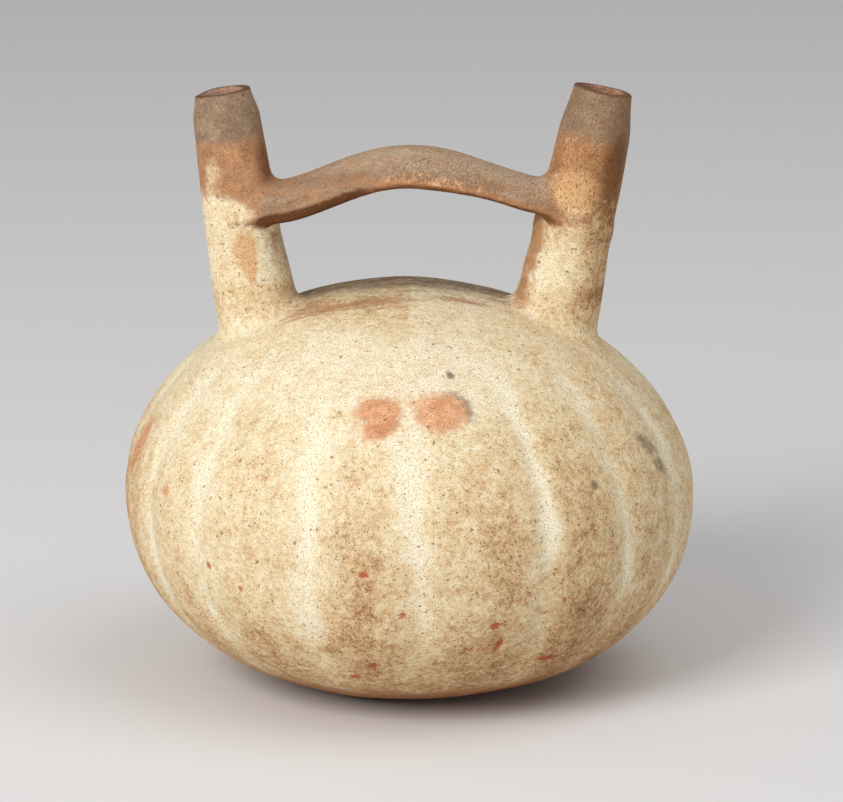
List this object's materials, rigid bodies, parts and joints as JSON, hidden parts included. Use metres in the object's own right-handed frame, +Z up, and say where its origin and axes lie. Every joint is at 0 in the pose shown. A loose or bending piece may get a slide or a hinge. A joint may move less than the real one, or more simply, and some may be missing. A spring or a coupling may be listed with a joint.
{
  "type": "double spout and bridge vessel",
  "caption": "Hollow fired-clay bottle with a gourd-lobed body, splayed tapering spouts joined by an arched strap bridge, and a small flat underside to stand on",
  "frame": {"origin": "centre of the bounding box on the plane that the flat underside stands on", "axes": "+Z up, +X from the left spout to the right spout as pictured, -Y towards the viewer of the picture"},
  "size_m": [0.1542, 0.1518, 0.1635],
  "materials": {
    "clay": "burnished cream slip over buff clay, worn, speckled and fire-clouded, with orange-red patches"
  },
  "bodies": {
    "root": {"vessel": "clay"}
  },
  "joints": []
}
